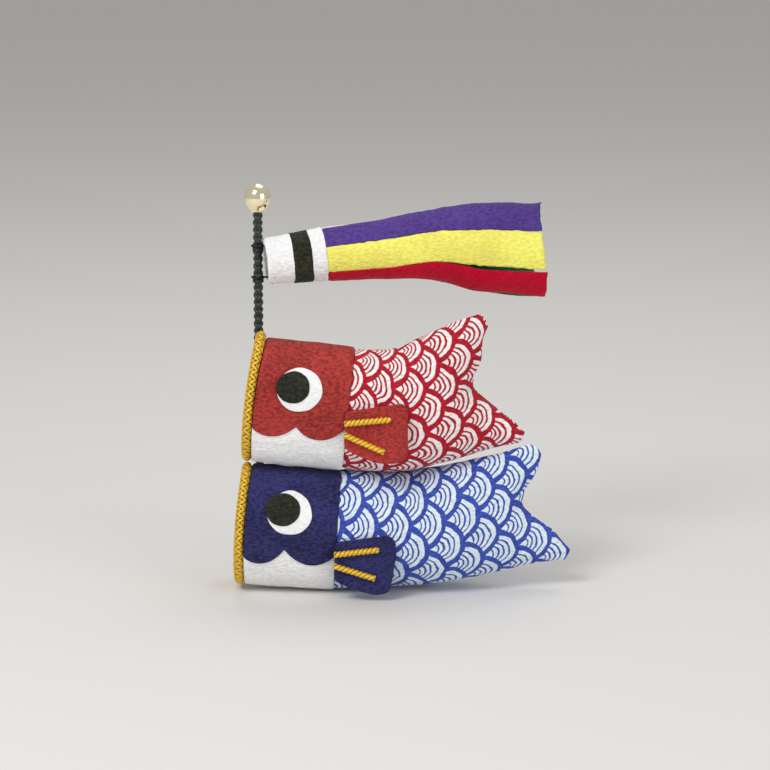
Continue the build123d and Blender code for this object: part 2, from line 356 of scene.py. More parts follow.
def thread(name, colour, dark, metallic, roughness):
    """Cord finish. dark is the painted shade in the creases between strands."""
    finish = Finish(name, Specular_IOR_Level=0.4)
    place = finish.node("TexCoord", out=3)
    fibres = finish.noise(place, FIBRE_SCALE, 1.0)
    patch = finish.noise(place, 420, 2.0)
    out = finish.node("Attribute", {"attribute_name": "out"}, out=2)
    proud = finish.step(out + (patch - 0.5) * 0.12, 0.66, 0.97)
    share = proud * (finish.step(fibres, 0.3, 0.6) * 0.3 + 0.7)
    finish.feed(Base_Color=finish.mix(share, dark, colour), Normal=finish.bump(fibres, 0.3, 0.08),
                Roughness=finish.step(fibres, 0.0, 1.0) * 0.15 + (roughness - 0.07),
                Metallic=proud * metallic)
    return finish.material


# The second colour of each cord is the painted shade in the creases between its strands.
GILT = thread("gilt_cord", srgb(250, 206, 66), srgb(104, 52, 8), 0.45, 0.42)
SILK_BLACK = thread("black_braid", srgb(46, 53, 48), srgb(4, 5, 5), 0.0, 0.34)


# %% [markdown]
# The other finishes are small: a gilt ball with faint clouds in its polish, plain card inside the
# windsock, and the pole's wood, whose grain is noise that a Mapping node stretches along the pole.


# %% Gilt, card and wood
def gilt_ball():
    finish = Finish("gilt_ball", Metallic=0.85, Coat_Weight=0.3, Coat_Roughness=0.05)
    place = finish.node("TexCoord", out=3)
    cloud = finish.noise(place, 260, 2.0)
    finish.feed(
        Base_Color=finish.mix(cloud, srgb(248, 232, 184), srgb(255, 246, 218)),
        Roughness=cloud * 0.1 + 0.07, Normal=finish.bump(cloud, 0.12, 0.25),
    )
    return finish.material


def card():
    finish = Finish("card", Specular_IOR_Level=0.3)
    place = finish.node("TexCoord", out=3)
    fibre = finish.noise(place, 900, 3.0)
    finish.feed(Base_Color=finish.mix(fibre, srgb(186, 168, 134), srgb(214, 200, 170)),
                Roughness=fibre * 0.1 + 0.82, Normal=finish.bump(fibre, 0.3, 0.1))
    return finish.material


def wood():
    finish = Finish("pole_wood", Specular_IOR_Level=0.3)
    place = finish.node("TexCoord", out=3)
    spot = finish.node("Mapping", {}, {"Vector": place, "Scale": (1.0, 1.0, 0.06)})
    grain = finish.noise(spot, 1500, 3.0)
    finish.feed(Base_Color=finish.mix(grain, srgb(150, 110, 62), srgb(202, 164, 108)),
                Roughness=grain * 0.2 + 0.5, Normal=finish.bump(grain, 0.3, 0.1))
    return finish.material


BALL, CARD, WOOD = gilt_ball(), card(), wood()
LINING = crepe("lining_cloth", srgb(150, 30, 40), 0.85, 0.5)
WADDING = crepe("wadding", srgb(238, 236, 230), 0.95)
SAND = crepe("weight_sand", srgb(190, 180, 150), 0.9)
# Its second colour is painted shade, as in the cords' creases.
DIP = thread("pole_dip", srgb(30, 32, 30), srgb(14, 14, 14), 0.0, 0.3)
print("cord, card and gilt made")

# %% [markdown]
# Every cloth piece here is cut flat and then bent to its place, so each starts as a flat grid. A
# finished shape could be unwrapped afterwards, but the grid already knows where each thread was,
# and keeps that as its UV map, so a print follows the cloth round.


# %% Cloth grid
SAME_PLACE = 2e-6


def finish_mesh(work, name, material, smooth=True):
    """A bmesh as an object at the origin."""
    mesh = bpy.data.meshes.new(name)
    work.to_mesh(mesh)
    work.free()
    made = bpy.data.objects.new(name, mesh)
    bpy.context.scene.collection.objects.link(made)
    mesh.materials.append(material)
    if smooth:
        mesh.shade_smooth()
    return made


def cloth_grid(along, around, place, cut=None):
    """A flat grid whose point (u, v) goes to place(u, v). cut(u, v) is its place in the flat
    cloth."""
    work = bmesh.new()
    bmesh.ops.create_grid(work, x_segments=along, y_segments=around, size=0.5)
    spots = {v: (v.co.x + 0.5, v.co.y + 0.5) for v in work.verts}
    layer = work.loops.layers.uv.new("Cut")
    for face in work.faces:
        for loop in face.loops:
            u, v = spots[loop.vert]
            loop[layer].uv = cut(u, v) if cut else (u, v)
    for vert, (u, v) in spots.items():
        vert.co = place(u, v)
    bmesh.ops.remove_doubles(work, verts=work.verts, dist=SAME_PLACE)
    bmesh.ops.recalc_face_normals(work, faces=work.faces)
    return work


# %% [markdown]
# A piece's measures are kept in small tables, and a smooth curve through a table's rows gives the
# places between them. Rumple is a slow noise, which keeps cloth from looking like sheet metal.


# %% Smooth tables and rumples
def through(rows, x):
    """The other columns of a table at x, on a smooth curve through its rows."""
    xs = [row[0] for row in rows]
    i = min(max(bisect.bisect_right(xs, x) - 1, 0), len(xs) - 2)
    columns = [np.array(row[1:], float) for row in rows]
    gap = xs[i + 1] - xs[i]
    f = min(max((x - xs[i]) / gap, 0.0), 1.0)

    def slope(k):
        low, high = max(k - 1, 0), min(k + 1, len(xs) - 1)
        return (columns[high] - columns[low]) / (xs[high] - xs[low])

    a, b = columns[i], columns[i + 1]
    m, n = slope(i) * gap, slope(i + 1) * gap
    f2, f3 = f * f, f * f * f
    start = a * (2 * f3 - 3 * f2 + 1) + m * (f3 - 2 * f2 + f)
    return start + b * (3 * f2 - 2 * f3) + n * (f3 - f2)


def rumple(x, y, z, size, amount):
    """A slow bump of up to about amount, from noise with lumps of size, all in millimetres."""
    return amount * noise.noise(Vector((x, y, z)) / size)


def solid_cloth(piece, thickness, offset=-1.0):
    """Gives a sheet its thickness, in millimetres."""
    wall = piece.modifiers.new("cloth", "SOLIDIFY")
    wall.thickness, wall.offset = thickness * MM, offset
    wall.use_even_offset = True
    wall.use_quality_normals = True
    return piece


def give(piece, body, node, slot):
    """Says what a piece rides on, and hides the node that it stands for. slot is not used."""
    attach(piece, body)
    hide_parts(node)


# %% [markdown]
# A carp is a tube of ovals. Each row gives how far along it is, the oval's middle height, how many
# degrees the carp points down there, and the oval's half height and half depth, in millimetres.

# %% The two carp
CARP = {
    "blue": {
        "head": ((-39.0, 26.4, 4.0, 24.9, 19.0), (-3.3, 24.0, 3.5, 24.9, 20.5)),
        "body": (
            (-3.3, 24.0, 3.5, 24.9, 20.5), (19.2, 23.4, 0.0, 24.1, 20.0),
            (40.8, 25.9, -9.0, 25.1, 17.0), (56.0, 29.2, -11.0, 25.7, 11.8),
            (72.0, 33.2, -11.5, 25.8, 6.4), (96.0, 38.0, -11.5, 25.8, 2.2),
        ),
        "tail": ((10.0, 88.0), (12.3, 89.6), (14.3, 90.6), (23.3, 84.0), (28.6, 77.4),
                 (33.9, 72.0), (40.5, 72.8), (48.3, 77.2), (55.6, 78.4), (58.5, 76.5),
                 (60.5, 71.0), (64.0, 60.0)),
        "scallop": (0.436, -0.382, -0.193, -0.245, 0.173, 0.217),
        "mouth_drop": 0.8, "mouth_bow": 1.1, "cheek_sink": (0.0, 0.0),
        "belly_sag": 0.0, "back_rise": 1.0,
        "eye": (-21.9, 34.8, 8.85, 8.05), "pupil": (-24.6, 36.1, 6.9, 5.85),
        "fin": ((-3.9, 24.2), (17.8, 27.0), (20.2, 24.6), (20.6, 19.6), (19.8, 14.2), (17.9, 3.6),
                (12.8, 2.2), (4.0, 4.3), (-4.4, 8.4)),
        "fin_cords": (((-3.8, 19.4), (13.3, 21.4)), ((-4.0, 14.7), (11.7, 9.7))),
        "seam_x": -3.8, "sleeve": 14.0,
        "plain": NAVY, "print": BLUE_PRINT, "plain_slot": "navy_crepe",
        "print_slot": "blue_scale_print",
    },
    "red": {
        "head": ((-34.4, 78.7, 6.9, 26.4, 19.0), (1.3, 73.9, 6.2, 24.4, 20.0)),
        "body": (
            (1.3, 73.9, 6.2, 24.4, 20.0), (22.0, 74.7, -4.0, 24.8, 19.0),
            (38.0, 79.7, -12.0, 26.3, 16.0), (52.0, 84.6, -13.0, 27.2, 10.0),
            (64.0, 87.4, -13.0, 27.2, 6.0), (82.0, 91.6, -13.0, 27.2, 2.2),
        ),
        "tail": ((60.0, 69.0), (63.0, 71.0), (64.6, 71.8), (69.5, 67.6), (76.5, 58.4),
                 (82.6, 50.8), (88.3, 51.6), (93.7, 54.4), (102.7, 54.9), (108.0, 56.8),
                 (111.7, 54.6), (113.5, 50.0), (117.0, 40.0)),
        "scallop": (0.456, -0.337, -0.230, -0.152, 0.143, 0.216),
        "mouth_drop": 2.7, "mouth_bow": 1.4, "cheek_sink": (0.4, 1.1),
        "belly_sag": 2.9, "back_rise": 0.0,
        "eye": (-17.7, 85.0, 8.95, 8.1), "pupil": (-20.3, 86.0, 6.65, 5.8),
        "fin": ((0.4, 77.3), (23.0, 80.6), (25.0, 78.4), (25.1, 60.0), (23.6, 57.4), (20.6, 56.2),
                (13.2, 56.2), (6.2, 58.9), (-0.3, 62.3)),
        "fin_cords": (((0.4, 72.7), (18.0, 74.4)), ((0.2, 68.1), (15.4, 61.3))),
        "seam_x": 0.6, "sleeve": 63.0,
        "plain": RED, "print": RED_PRINT, "plain_slot": "red_crepe",
        "print_slot": "red_scale_print",
    },
}


# %% [markdown]
# Any place on a carp's skin is found from how far along it is and how high up its oval. One
# function does that for body, head and eyes, so they lie on each other.


# %% Places on an oval
def oval_point(rows, t, up, side, lift=0.0, pinch=0.5, thin=1.0, straight=False):
    """A point on a carp's oval at t: up is from -1 at the belly to 1 at the back."""
    if straight:
        f = (t - rows[0][0]) / (rows[1][0] - rows[0][0])
        z, pitch, high, deep = np.array(rows[0][1:]) * (1 - f) + np.array(rows[1][1:]) * f
    else:
        z, pitch, high, deep = through(rows, t)
    turn = math.radians(pitch)
    out = side * max(1 - up * up, 0.0) ** pinch * deep * thin
    normal = Vector((0, out / deep**2 if deep else 0, up / high))
    if normal.length > 1e-9:
        normal = Vector((0, out * high * high, up * high * deep * deep)).normalized()
    rise = up * high + normal.z * lift
    return Vector((t + math.sin(turn) * rise, out + normal.y * lift, z + math.cos(turn) * rise))


# %% [markdown]
# The body's cover is one tube of printed crepe, seamed along the belly and across the forked tail.
# It is made a little small, and then stuffed: a cloth simulation with pressure inside lets it
# swell, while the seams hold. Blender's cloth is happiest at the size of a garment, so the
# simulation runs on a copy twenty times as large.

# %% Stuffing
GARMENT = 20.0


def stuff(cover, held, pressure, cap_mm, frames=16):
    """Swells a closed cover with pressure. held gives each point's pin, from 0 to 1."""
    trial = bpy.data.objects.new("trial", cover.data.copy())
    bpy.context.scene.collection.objects.link(trial)
    trial.data.transform(Matrix.Scale(GARMENT, 4))
    pins = trial.vertex_groups.new(name="held")
    for index, share in enumerate(held):
        if share > 0:
            pins.add([index], share, "REPLACE")
    cloth = trial.modifiers.new("stuffing", "CLOTH")
    cloth.settings.quality = 6
    cloth.settings.mass = 0.12
    cloth.settings.tension_stiffness = 20
    cloth.settings.compression_stiffness = 8
    cloth.settings.shear_stiffness = 5
    cloth.settings.bending_stiffness = 0.2
    cloth.settings.use_pressure = True
    cloth.settings.uniform_pressure_force = pressure
    cloth.settings.vertex_group_mass = "held"
    cloth.settings.effector_weights.gravity = 0
    cloth.point_cache.frame_start, cloth.point_cache.frame_end = 1, frames
    for number in range(1, frames + 1):
        bpy.context.scene.frame_set(number)
    result = trial.evaluated_get(bpy.context.evaluated_depsgraph_get()).data
    swollen = [v.co / GARMENT for v in result.vertices]
    moved = []
    for vert, to in zip(cover.data.vertices, swollen):
        step = to - vert.co
        moved.append(step.length / MM)
        if step.length > cap_mm * MM:
            step = step.normalized() * cap_mm * MM
        vert.co += step
    bpy.data.objects.remove(trial)
    bpy.context.scene.frame_set(1)
    mean = sum(moved) / len(moved)
    print(cover.name, "swelled by up to", round(max(moved), 2), "mm, mean", round(mean, 2))


# %% [markdown]
# The cover's lines run from the head to the tail, and each one must end on the forked tail's
# outline. Halving the distance again and again finds that place without any formula for the fork.

# %% The tail's outline
BODY_ALONG, BODY_AROUND = 72, 104
SLACK = 0.5
UNDER_HEAD = 0.9
SAG_REACH = 68.0


def tail_end(rows, tail, up):
    """How far along the carp the line at this height meets the tail's outline."""
    zs, xs = [p[0] for p in tail], [p[1] for p in tail]
    low, high = rows[1][0], rows[-1][0]
    for _ in range(30):
        middle = (low + high) / 2
        p = oval_point(rows, middle, up, 0.0)
        if p.x > np.interp(p.z, zs, xs):
            high = middle
        else:
            low = middle
    return low + 1.0


# %% [markdown]
# The cover starts a little under the head's cloth, as it is sewn there, so no gap shows at the
# seam. Towards the tail the two sides come together. The cloth's map says how far along and how
# far round the body each point is, so the printed scales keep their size where the girth changes.


# %% Body cover
def body_cover(name, carp):
    """The tube of printed crepe, before it is stuffed."""
    rows, tail = carp["body"], carp["tail"]
    ups = [-math.cos(2 * math.pi * j / BODY_AROUND) for j in range(BODY_AROUND + 1)]
    ends = [tail_end(rows, tail, up) for up in ups]

    def place(u, v):
        up, side = -math.cos(2 * math.pi * v), -math.sin(2 * math.pi * v)
        start, end = rows[0][0] - UNDER_HEAD, ends[round(v * BODY_AROUND)]
        t = start + (end - start) * u
        reach = (1 - u) * (end - start)
        thin = math.sqrt(max(0.0, 1 - max(0.0, 1 - reach / 13.0) ** 2))
        flat = min(max((t - 35.0) / 35.0, 0.0), 1.0)
        tuck = -SLACK * thin - 0.5 * max(0.0, 1 - (t - start) / (UNDER_HEAD + 0.6))
        facing = 0.0 if abs(side) < 1e-6 else math.copysign(1.0, side)
        p = oval_point(rows, t, up, facing, tuck, 0.5 + 0.15 * flat, thin)
        p.y += facing * thin * rumple(p.x, p.y, p.z, 15.0, 0.7)
        sag = math.sin(math.pi * min(1.0, max(0.0, t - rows[0][0]) / SAG_REACH)) ** 0.5
        p.z -= carp["belly_sag"] * sag * max(0.0, -up) ** 1.5
        p.z += carp["back_rise"] * sag * max(0.0, up) ** 1.5
        return p * MM

    lines = [[place(i / BODY_ALONG, j / BODY_AROUND) for j in range(BODY_AROUND + 1)]
             for i in range(BODY_ALONG + 1)]
    girth = []
    for line in lines:
        total = np.cumsum([0.0] + [(b - a).length for a, b in zip(line, line[1:])])
        girth.append(total - total[BODY_AROUND // 4])

    def cut(u, v):
        i, j = round(u * BODY_ALONG), round(v * BODY_AROUND)
        behind_seam = (ends[j] - rows[0][0] + UNDER_HEAD) * u - UNDER_HEAD
        return behind_seam * MM, girth[i][j]

    work = cloth_grid(BODY_ALONG, BODY_AROUND, place, cut)
    rim = [e for e in work.edges if e.is_boundary]
    mouth = bmesh.ops.holes_fill(work, edges=rim, sides=0)["faces"]
    bmesh.ops.triangulate(work, faces=mouth)
    bmesh.ops.recalc_face_normals(work, faces=work.faces)
    return finish_mesh(work, name + "_body", carp["print"])


# %% [markdown]
# While the cover swells, the head seam is held fast and the tail's seam is held a little.
# Afterwards a low noise gives the lumps of the wadding and the puckers beside a seam, which a
# short simulation doesn't make.


# %% Seams and rumples
def body_held(cover, rows):
    """The head seam is held fast, and the seam round the tail holds a little."""
    shares = []
    for vert in cover.data.vertices:
        p = vert.co / MM
        ahead = p.x - rows[0][0]
        share = 1.0 if ahead < 2.2 else max(0.0, 1 - (ahead - 2.2) / 5.0)
        if abs(p.y) < 0.4 and p.x > rows[2][0]:
            share = max(share, 0.35)
        shares.append(share)
    return shares


def rumple_cover(cover, amount, seams):
    """Fine unevenness of the wadding, and puckers beside the seams."""
    cover.data.calc_loop_triangles()
    normals = [v.normal.copy() for v in cover.data.vertices]
    for vert, normal in zip(cover.data.vertices, normals):
        p = vert.co / MM
        beside = math.exp(-((abs(p.y) / 2.4) ** 2)) * seams
        lump = rumple(p.x, p.y, p.z, 6.0, amount) + rumple(p.x + 40, p.y, p.z, 3.6, beside)
        lump *= min(1.0, 0.25 + abs(p.y) / 1.6)
        vert.co += normal * lump * MM
    cover.data.update()


# %% [markdown]
# The cap keeps each point near its place, so the stuffed cover stays in the room that the part
# gives it. The lower carp also lies flat where it touches the table.

# %% Two stuffed bodies
STUFFING_PRESSURE, SWELL_CAP = 9.0, 1.6
for name, carp in CARP.items():
    cover = body_cover(name, carp)
    stuff(cover, body_held(cover, carp["body"]), STUFFING_PRESSURE, SWELL_CAP)
    rumple_cover(cover, 0.25, 0.35)
    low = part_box("blue_body_cover")[0].z
    for vert in cover.data.vertices:
        vert.co.z = max(vert.co.z, low)
    fine = cover.modifiers.new("fine", "SUBSURF")
    fine.levels = fine.render_levels = 1
    give(cover, name + "_carp", name + "_body_cover", carp["print_slot"])
    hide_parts(name + "_body_padding")
    print(cover.name, len(cover.data.vertices), "points")

# %% [markdown]
# The head is two cloths. The white cheek goes right round underneath. The plain cloth lies over it
# and ends on each side in two lobes, with its edge folded under. A picture of lobes could be
# painted on one cloth, but a real edge catches the light, so the lobes are cut in the mesh.

# %% Lobes
HEAD_ALONG, HEAD_AROUND = 60, 150
FLOOR_CLEAR = 0.05


def lobe_edge(scallop, f):
    """How high the plain cloth's edge is at a share f of the head's length."""
    cusp, front, middle, end, sag_front, sag_end = scallop
    if f < cusp:
        g, low, high, sag = f / cusp, front, middle, sag_front
    else:
        g, low, high, sag = (f - cusp) / (1 - cusp), middle, end, sag_end
    return low + (high - low) * g - sag * (1 - abs(2 * g - 1) ** 2.1)


def head_share(scallop, u):
    """Puts the grid's middle column on the cusp between the lobes."""
    cusp = scallop[0]
    return u / 0.5 * cusp if u < 0.5 else cusp + (u - 0.5) / 0.5 * (1 - cusp)


# %% [markdown]
# A head is an oval tube that gives a little: its mouth bows forward at the sides, and its cloth
# sinks at the top of the mouth and where the cheek rests on what is below.


# %% Places on a head
def mouth_bow(carp, f, up):
    """How far the mouth's sides stand ahead of its top and bottom."""
    return carp["mouth_bow"] * max(1 - f, 0.0) ** 2 * (1 - up * up)


def head_point(carp, f, up, side, lift):
    """A place on the head, a share f of its length back from the mouth. The cloth sinks a little
    towards the mouth's cord along the top."""
    rows = carp["head"]
    t = rows[0][0] + (rows[1][0] - rows[0][0]) * f
    p = oval_point(rows, t, up, side, lift + 0.35 * math.sin(math.pi * f), straight=True)
    front, rear = carp["cheek_sink"]
    p.x -= mouth_bow(carp, f, up)
    p.z -= carp["mouth_drop"] * (1 - f) * max(up, 0.0) ** 2
    p.z -= (front + (rear - front) * f) * max(-up, 0.0) ** 2
    return p


def head_spot(carp, x, z, side, lift):
    """The place on a head's side that is seen at x and z, lifted off the cloth."""
    rows, t, up = carp["head"], x, 0.0
    for _ in range(12):
        f = (t - rows[0][0]) / (rows[1][0] - rows[0][0])
        middle, pitch, high, _ = np.array(rows[0][1:]) * (1 - f) + np.array(rows[1][1:]) * f
        turn = math.radians(pitch)
        drop = carp["mouth_drop"] * (1 - f) * max(up, 0.0) ** 2
        rise = (z + drop - middle) / math.cos(turn)
        up = rise / high
        t = x - math.sin(turn) * rise + mouth_bow(carp, f, up)
    return head_point(carp, f, up, side, lift)


# %% [markdown]
# The same function cuts both cloths, because the cheek's upper edge runs just under the lobes.
# Solidify gives the cloth its thickness, and Bevel rounds the fold along its edges.


# %% Head cloths
TURN_IN = 0.10


def head_cloth(name, carp, upper):
    """The plain cloth over a head, or the white cheek under it."""
    scallop = carp["scallop"]
    length = carp["head"][1][0] - carp["head"][0][0]
    middle = carp["head"][0][1]

    def place(u, v):
        f = head_share(scallop, u)
        edge = lobe_edge(scallop, f) + (0.0 if upper else TURN_IN)
        w = 1 - abs(2 * v - 1)
        side = 0.0 if w > 0.9999 else (-1.0 if v < 0.5 else 1.0)
        first = math.acos(max(-1.0, min(1.0, edge)))
        angle = first * (1 - w) if upper else first + (math.pi - first) * w
        tuck = -0.25 * max(0.0, 1 - (1 - f) * length / 0.9) ** 2
        tuck -= 0.5 * max(0.0, 1 - f * length / 1.2) ** 2
        p = head_point(carp, f, math.cos(angle), side, tuck + (0.3 if upper else -0.25))
        lump = rumple(p.x, p.y, p.z, 9.0, 0.3) + rumple(p.x, p.y, p.z, 2.2, 0.08)
        if not upper:
            gathers = math.sin(p.z * 1.1 + 3 * noise.noise(p / 6))
            lump += 0.12 * gathers * max(0.0, (middle - 10 - p.z) / 16)
        p += Vector((0, p.y, p.z - middle)).normalized() * lump
        p.z = max(p.z, FLOOR_CLEAR)
        return p * MM

    work = cloth_grid(HEAD_ALONG, HEAD_AROUND, place)
    made = finish_mesh(work, f"{name}_{'head' if upper else 'cheek'}_cloth",
                       carp["plain"] if upper else WHITE)
    wall = made.modifiers.new("cloth", "SOLIDIFY")
    wall.thickness, wall.offset = 0.55 * MM, -1.0
    round_off = made.modifiers.new("fold", "BEVEL")
    round_off.width, round_off.segments, round_off.limit_method = 0.2 * MM, 2, "ANGLE"
    round_off.angle_limit = math.radians(50)
    return made


# %% [markdown]
# The carp's open mouth is lined with red cloth over a board. One grid of cloth makes the tube and
# its floor: it runs back from behind the cord, and then inwards until it closes.


# %% Mouth linings
def mouth_lining(name, carp):
    """The cloth inside a mouth: an oval tube from behind the cord, and its floor."""
    t, middle, pitch, high, deep = carp["head"][0]
    turn = math.radians(pitch)
    along = Vector((math.cos(turn), 0, -math.sin(turn)))
    rise = Vector((math.sin(turn), 0, math.cos(turn)))

    def place(u, v):
        inside = min(u / 0.55, 1.0)
        size = 1 - max(0.0, (u - 0.55) / 0.45)
        angle = 2 * math.pi * v
        wide, tall = (deep - 3.0) * math.cos(angle), (high - 3.4) * math.sin(angle)
        p = Vector((t, 0, middle)) + along * (9.2 * inside - 1.2) + Vector((0, wide * size, 0))
        p += rise * tall * size
        p.x -= carp["mouth_bow"] * math.cos(angle) ** 2 * (1 - inside)
        return (p + along * rumple(p.x, p.y, p.z, 5.0, 0.3 * size)) * MM

    made = finish_mesh(cloth_grid(36, 80, place), name + "_mouth_cloth", LINING)
    wall = made.modifiers.new("cloth", "SOLIDIFY")
    wall.thickness, wall.offset = 0.4 * MM, 1.0
    return made


# %% [markdown]
# Eyes, fins and other flat pieces are pads: a face, a rounded rim and a back, spun out from the
# middle. A profile gives the rim's roundness, and each piece bends the pad to its own place.


# %% Pads
def pad_profile(rim, rings=7):
    face = [(k / rings * (1 - rim), 1.0) for k in range(rings)]
    turns = [math.pi * k / 8 for k in range(9)]
    edge = [(1 - rim + rim * math.sin(a), math.cos(a)) for a in turns]
    return face + edge + [(r, -h) for r, h in reversed(face)]


def pad(name, material, spot, rim=0.06, around=96, rings=7):
    """spot(r, h, v) places a point of the pad: r out from its middle, h up, v round it."""
    profile = pad_profile(rim, rings)
    last = len(profile) - 1

    def place(u, v):
        r, h = profile[round(u * last)]
        return spot(r, h, v) * MM

    return finish_mesh(cloth_grid(last, around, place), name, material)


# %% [markdown]
# An eye is a white disc with a black one over its front. Each is a pad that is laid on the head's
# curve, with an edge that wobbles a little, because it was cut by hand.


# %% Discs on a head
def disc_on_head(name, material, carp, disc, side, base, thick):
    cx, cz, wide, high = disc

    def spot(r, h, v):
        angle = 2 * math.pi * v
        wobble = 1 + 0.010 * math.sin(3 * angle + cx) + 0.007 * math.sin(7 * angle + cz)
        x = cx + wide * wobble * r * math.cos(angle)
        z = cz + high * wobble * r * math.sin(angle)
        crown = 0.2 * (1 - r * r) if h > 0 else 0.0
        lift = base + thick / 2 + h * thick / 2 + crown + rumple(x, side * 9, z, 2.4, 0.06)
        return head_spot(carp, x, z, side, lift)

    return pad(name, material, spot, rim=0.045)


# %% [markdown]
# Everything sewn to a head is made here, on both sides of each carp, and rides with that carp. The
# far side of the heads is out of sight from the front, so it mirrors the near one.

# %% Two heads with their eyes
SIDES = (("near", -1.0), ("far", 1.0))
for name, carp in CARP.items():
    upper, lower = head_cloth(name, carp, True), head_cloth(name, carp, False)
    lining = mouth_lining(name, carp)
    give(upper, name + "_carp", name + "_head_cover", carp["plain_slot"])
    give(lower, name + "_carp", name + "_cheek_cover", "white_crepe")
    give(lining, name + "_carp", name + "_mouth_lining", "lining_cloth")
    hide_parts(name + "_mouth_board")
    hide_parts(name + "_head_padding")
    for word, side in SIDES:
        white = disc_on_head(f"{name}_eye_{word}", WHITE, carp, carp["eye"], side, 0.2, 0.6)
        black = disc_on_head(f"{name}_pupil_{word}_cloth", BLACK, carp, carp["pupil"], side,
                             0.75, 0.6)
        give(white, name + "_carp", f"{name}_eye_white_{word}", "white_crepe")
        give(black, name + "_carp", f"{name}_pupil_{word}", "black_crepe")
print("heads and eyes made")

# %% [markdown]
# Cords follow a route: a smooth spline that passes near a few points. Blender's own curve gives
# the places along it, which is simpler and smoother than working them out.


# %% Routes
def route(points, cyclic=False, fineness=24):
    """A smooth line near some points, as a list of places in metres."""
    line = bpy.data.curves.new("route", "CURVE")
    line.dimensions, line.resolution_u = "3D", fineness
    spline = line.splines.new("NURBS")
    spline.points.add(len(points) - 1)
    for knot, p in zip(spline.points, points):
        knot.co = (*(Vector(p) * MM), 1)
    spline.order_u = 3
    spline.use_cyclic_u = cyclic
    spline.use_endpoint_u = not cyclic
    carrier = bpy.data.objects.new("route", line)
    mesh = bpy.data.meshes.new_from_object(carrier)
    places = [v.co.copy() for v in mesh.vertices]
    bpy.data.objects.remove(carrier)
    return places + places[:1] if cyclic else places


# %% [markdown]
# A braid could be a tube with a bump, but up close a braid is strands that cross. Four of the gilt
# cord's strands wind one way and four the other, and each goes over two and under two. A cord here
# lies almost in one plane, so that plane's normal serves to measure the windings.


# %% Plaits
def plait(name, material, places, normal, strands, turns, cyclic=False, steps=16, sides=1):
    """Strands wound round a route. Each strand is (way, start, radius, thickness, weave)."""
    lengths = np.cumsum([0.0] + [(b - a).length for a, b in zip(places, places[1:])])
    count = max(8, round(turns * steps))
    wanted = np.linspace(0, lengths[-1], count + 1)
    if cyclic:
        wanted = wanted[:-1]
    axis = [Vector([float(np.interp(w, lengths, [p[k] for p in places])) for k in range(3)])
            for w in wanted]
    total = len(axis)
    ropes = bpy.data.curves.new(name, "CURVE")
    ropes.dimensions, ropes.bevel_resolution, ropes.use_fill_caps = "3D", sides, True
    ropes.bevel_depth = 1.0
    normal = Vector(normal).normalized()
    for way, start, radius, thickness, weave, beat in strands:
        spline = ropes.splines.new("POLY")
        spline.points.add(total - 1)
        spline.use_cyclic_u = cyclic
        for i, middle in enumerate(axis):
            ahead = axis[(i + 1) % total] if cyclic else axis[min(i + 1, total - 1)]
            behind = axis[i - 1] if cyclic or i else axis[0]
            along = (ahead - behind).normalized()
            across = along.cross(normal).normalized()
            turn = 2 * math.pi * turns * i / (total if cyclic else total - 1)
            angle = way * turn + start
            out = (radius + weave * math.cos(beat * turn + (0 if way > 0 else math.pi))) * MM
            spot = middle + (across * math.cos(angle) + normal * math.sin(angle)) * out
            spline.points[i].co = (*spot, 1)
            spline.points[i].radius = thickness * MM
    carrier = bpy.data.objects.new(name, ropes)
    mesh = bpy.data.meshes.new_from_object(carrier)
    bpy.data.objects.remove(carrier)
    mesh.materials.clear()
    mesh.materials.append(material)
    rim = 4 + 2 * sides
    reach = max(s[2] + s[3] + s[4] for s in strands) * MM
    far = [(v.co - axis[v.index % (total * rim) // rim]).length / reach for v in mesh.vertices]
    mesh.attributes.new("out", "FLOAT", "POINT").data.foreach_set("value", far)
    made = bpy.data.objects.new(name, mesh)
    bpy.context.scene.collection.objects.link(made)
    mesh.shade_smooth()
    return made


def round_braid(ends, radius, thickness, weave):
    """Half the strands wind one way and half the other, over two and under two."""
    per_way = ends // 2
    spread = 2 * math.pi / per_way
    return [(way, k * spread, radius, thickness, weave, per_way / 2)
            for way in (1, -1) for k in range(per_way)]


# %% [markdown]
# The gilt cord goes once round each mouth. The ring's points are pushed out a little, because the
# spline passes inside them.

# %% Mouth cords
CORD_R = 2.0
for name, carp in CARP.items():
    t, middle, pitch, high, deep = carp["head"][0]
    turn = math.radians(pitch)
    along = Vector((math.cos(turn), 0, -math.sin(turn)))
    rise = Vector((math.sin(turn), 0, math.cos(turn)))
    centre = Vector((t, 0, middle)) - along * CORD_R
    knots = 20
    swell = 1 / (0.75 + 0.25 * math.cos(2 * math.pi / knots))
    ring = [centre + rise * ((high - CORD_R) * swell * math.sin(2 * math.pi * k / knots))
            + Vector((0, (deep - CORD_R) * swell * math.cos(2 * math.pi * k / knots), 0))
            - Vector((carp["mouth_bow"] * math.cos(2 * math.pi * k / knots) ** 2, 0, 0))
            for k in range(knots)]
    braid = plait(name + "_mouth_braid", GILT, route(ring, cyclic=True), along,
                  round_braid(8, 1.34, 0.66, 0.18), turns=18, cyclic=True, steps=20)
    give(braid, name + "_carp", name + "_mouth_cord", "gilt_cord")
    print(braid.name, len(braid.data.polygons), "faces")

# %% [markdown]
# A fin is a doubled flap of the head's cloth, sewn in at the seam, so it is a pad with one straight
# edge. Two short gilt cords, each of two threads twisted together, are glued along it.

# %% Fins
FIN_Y, FIN_CLOTH = 21.1, 1.2
TWIST_PITCH = 3.6


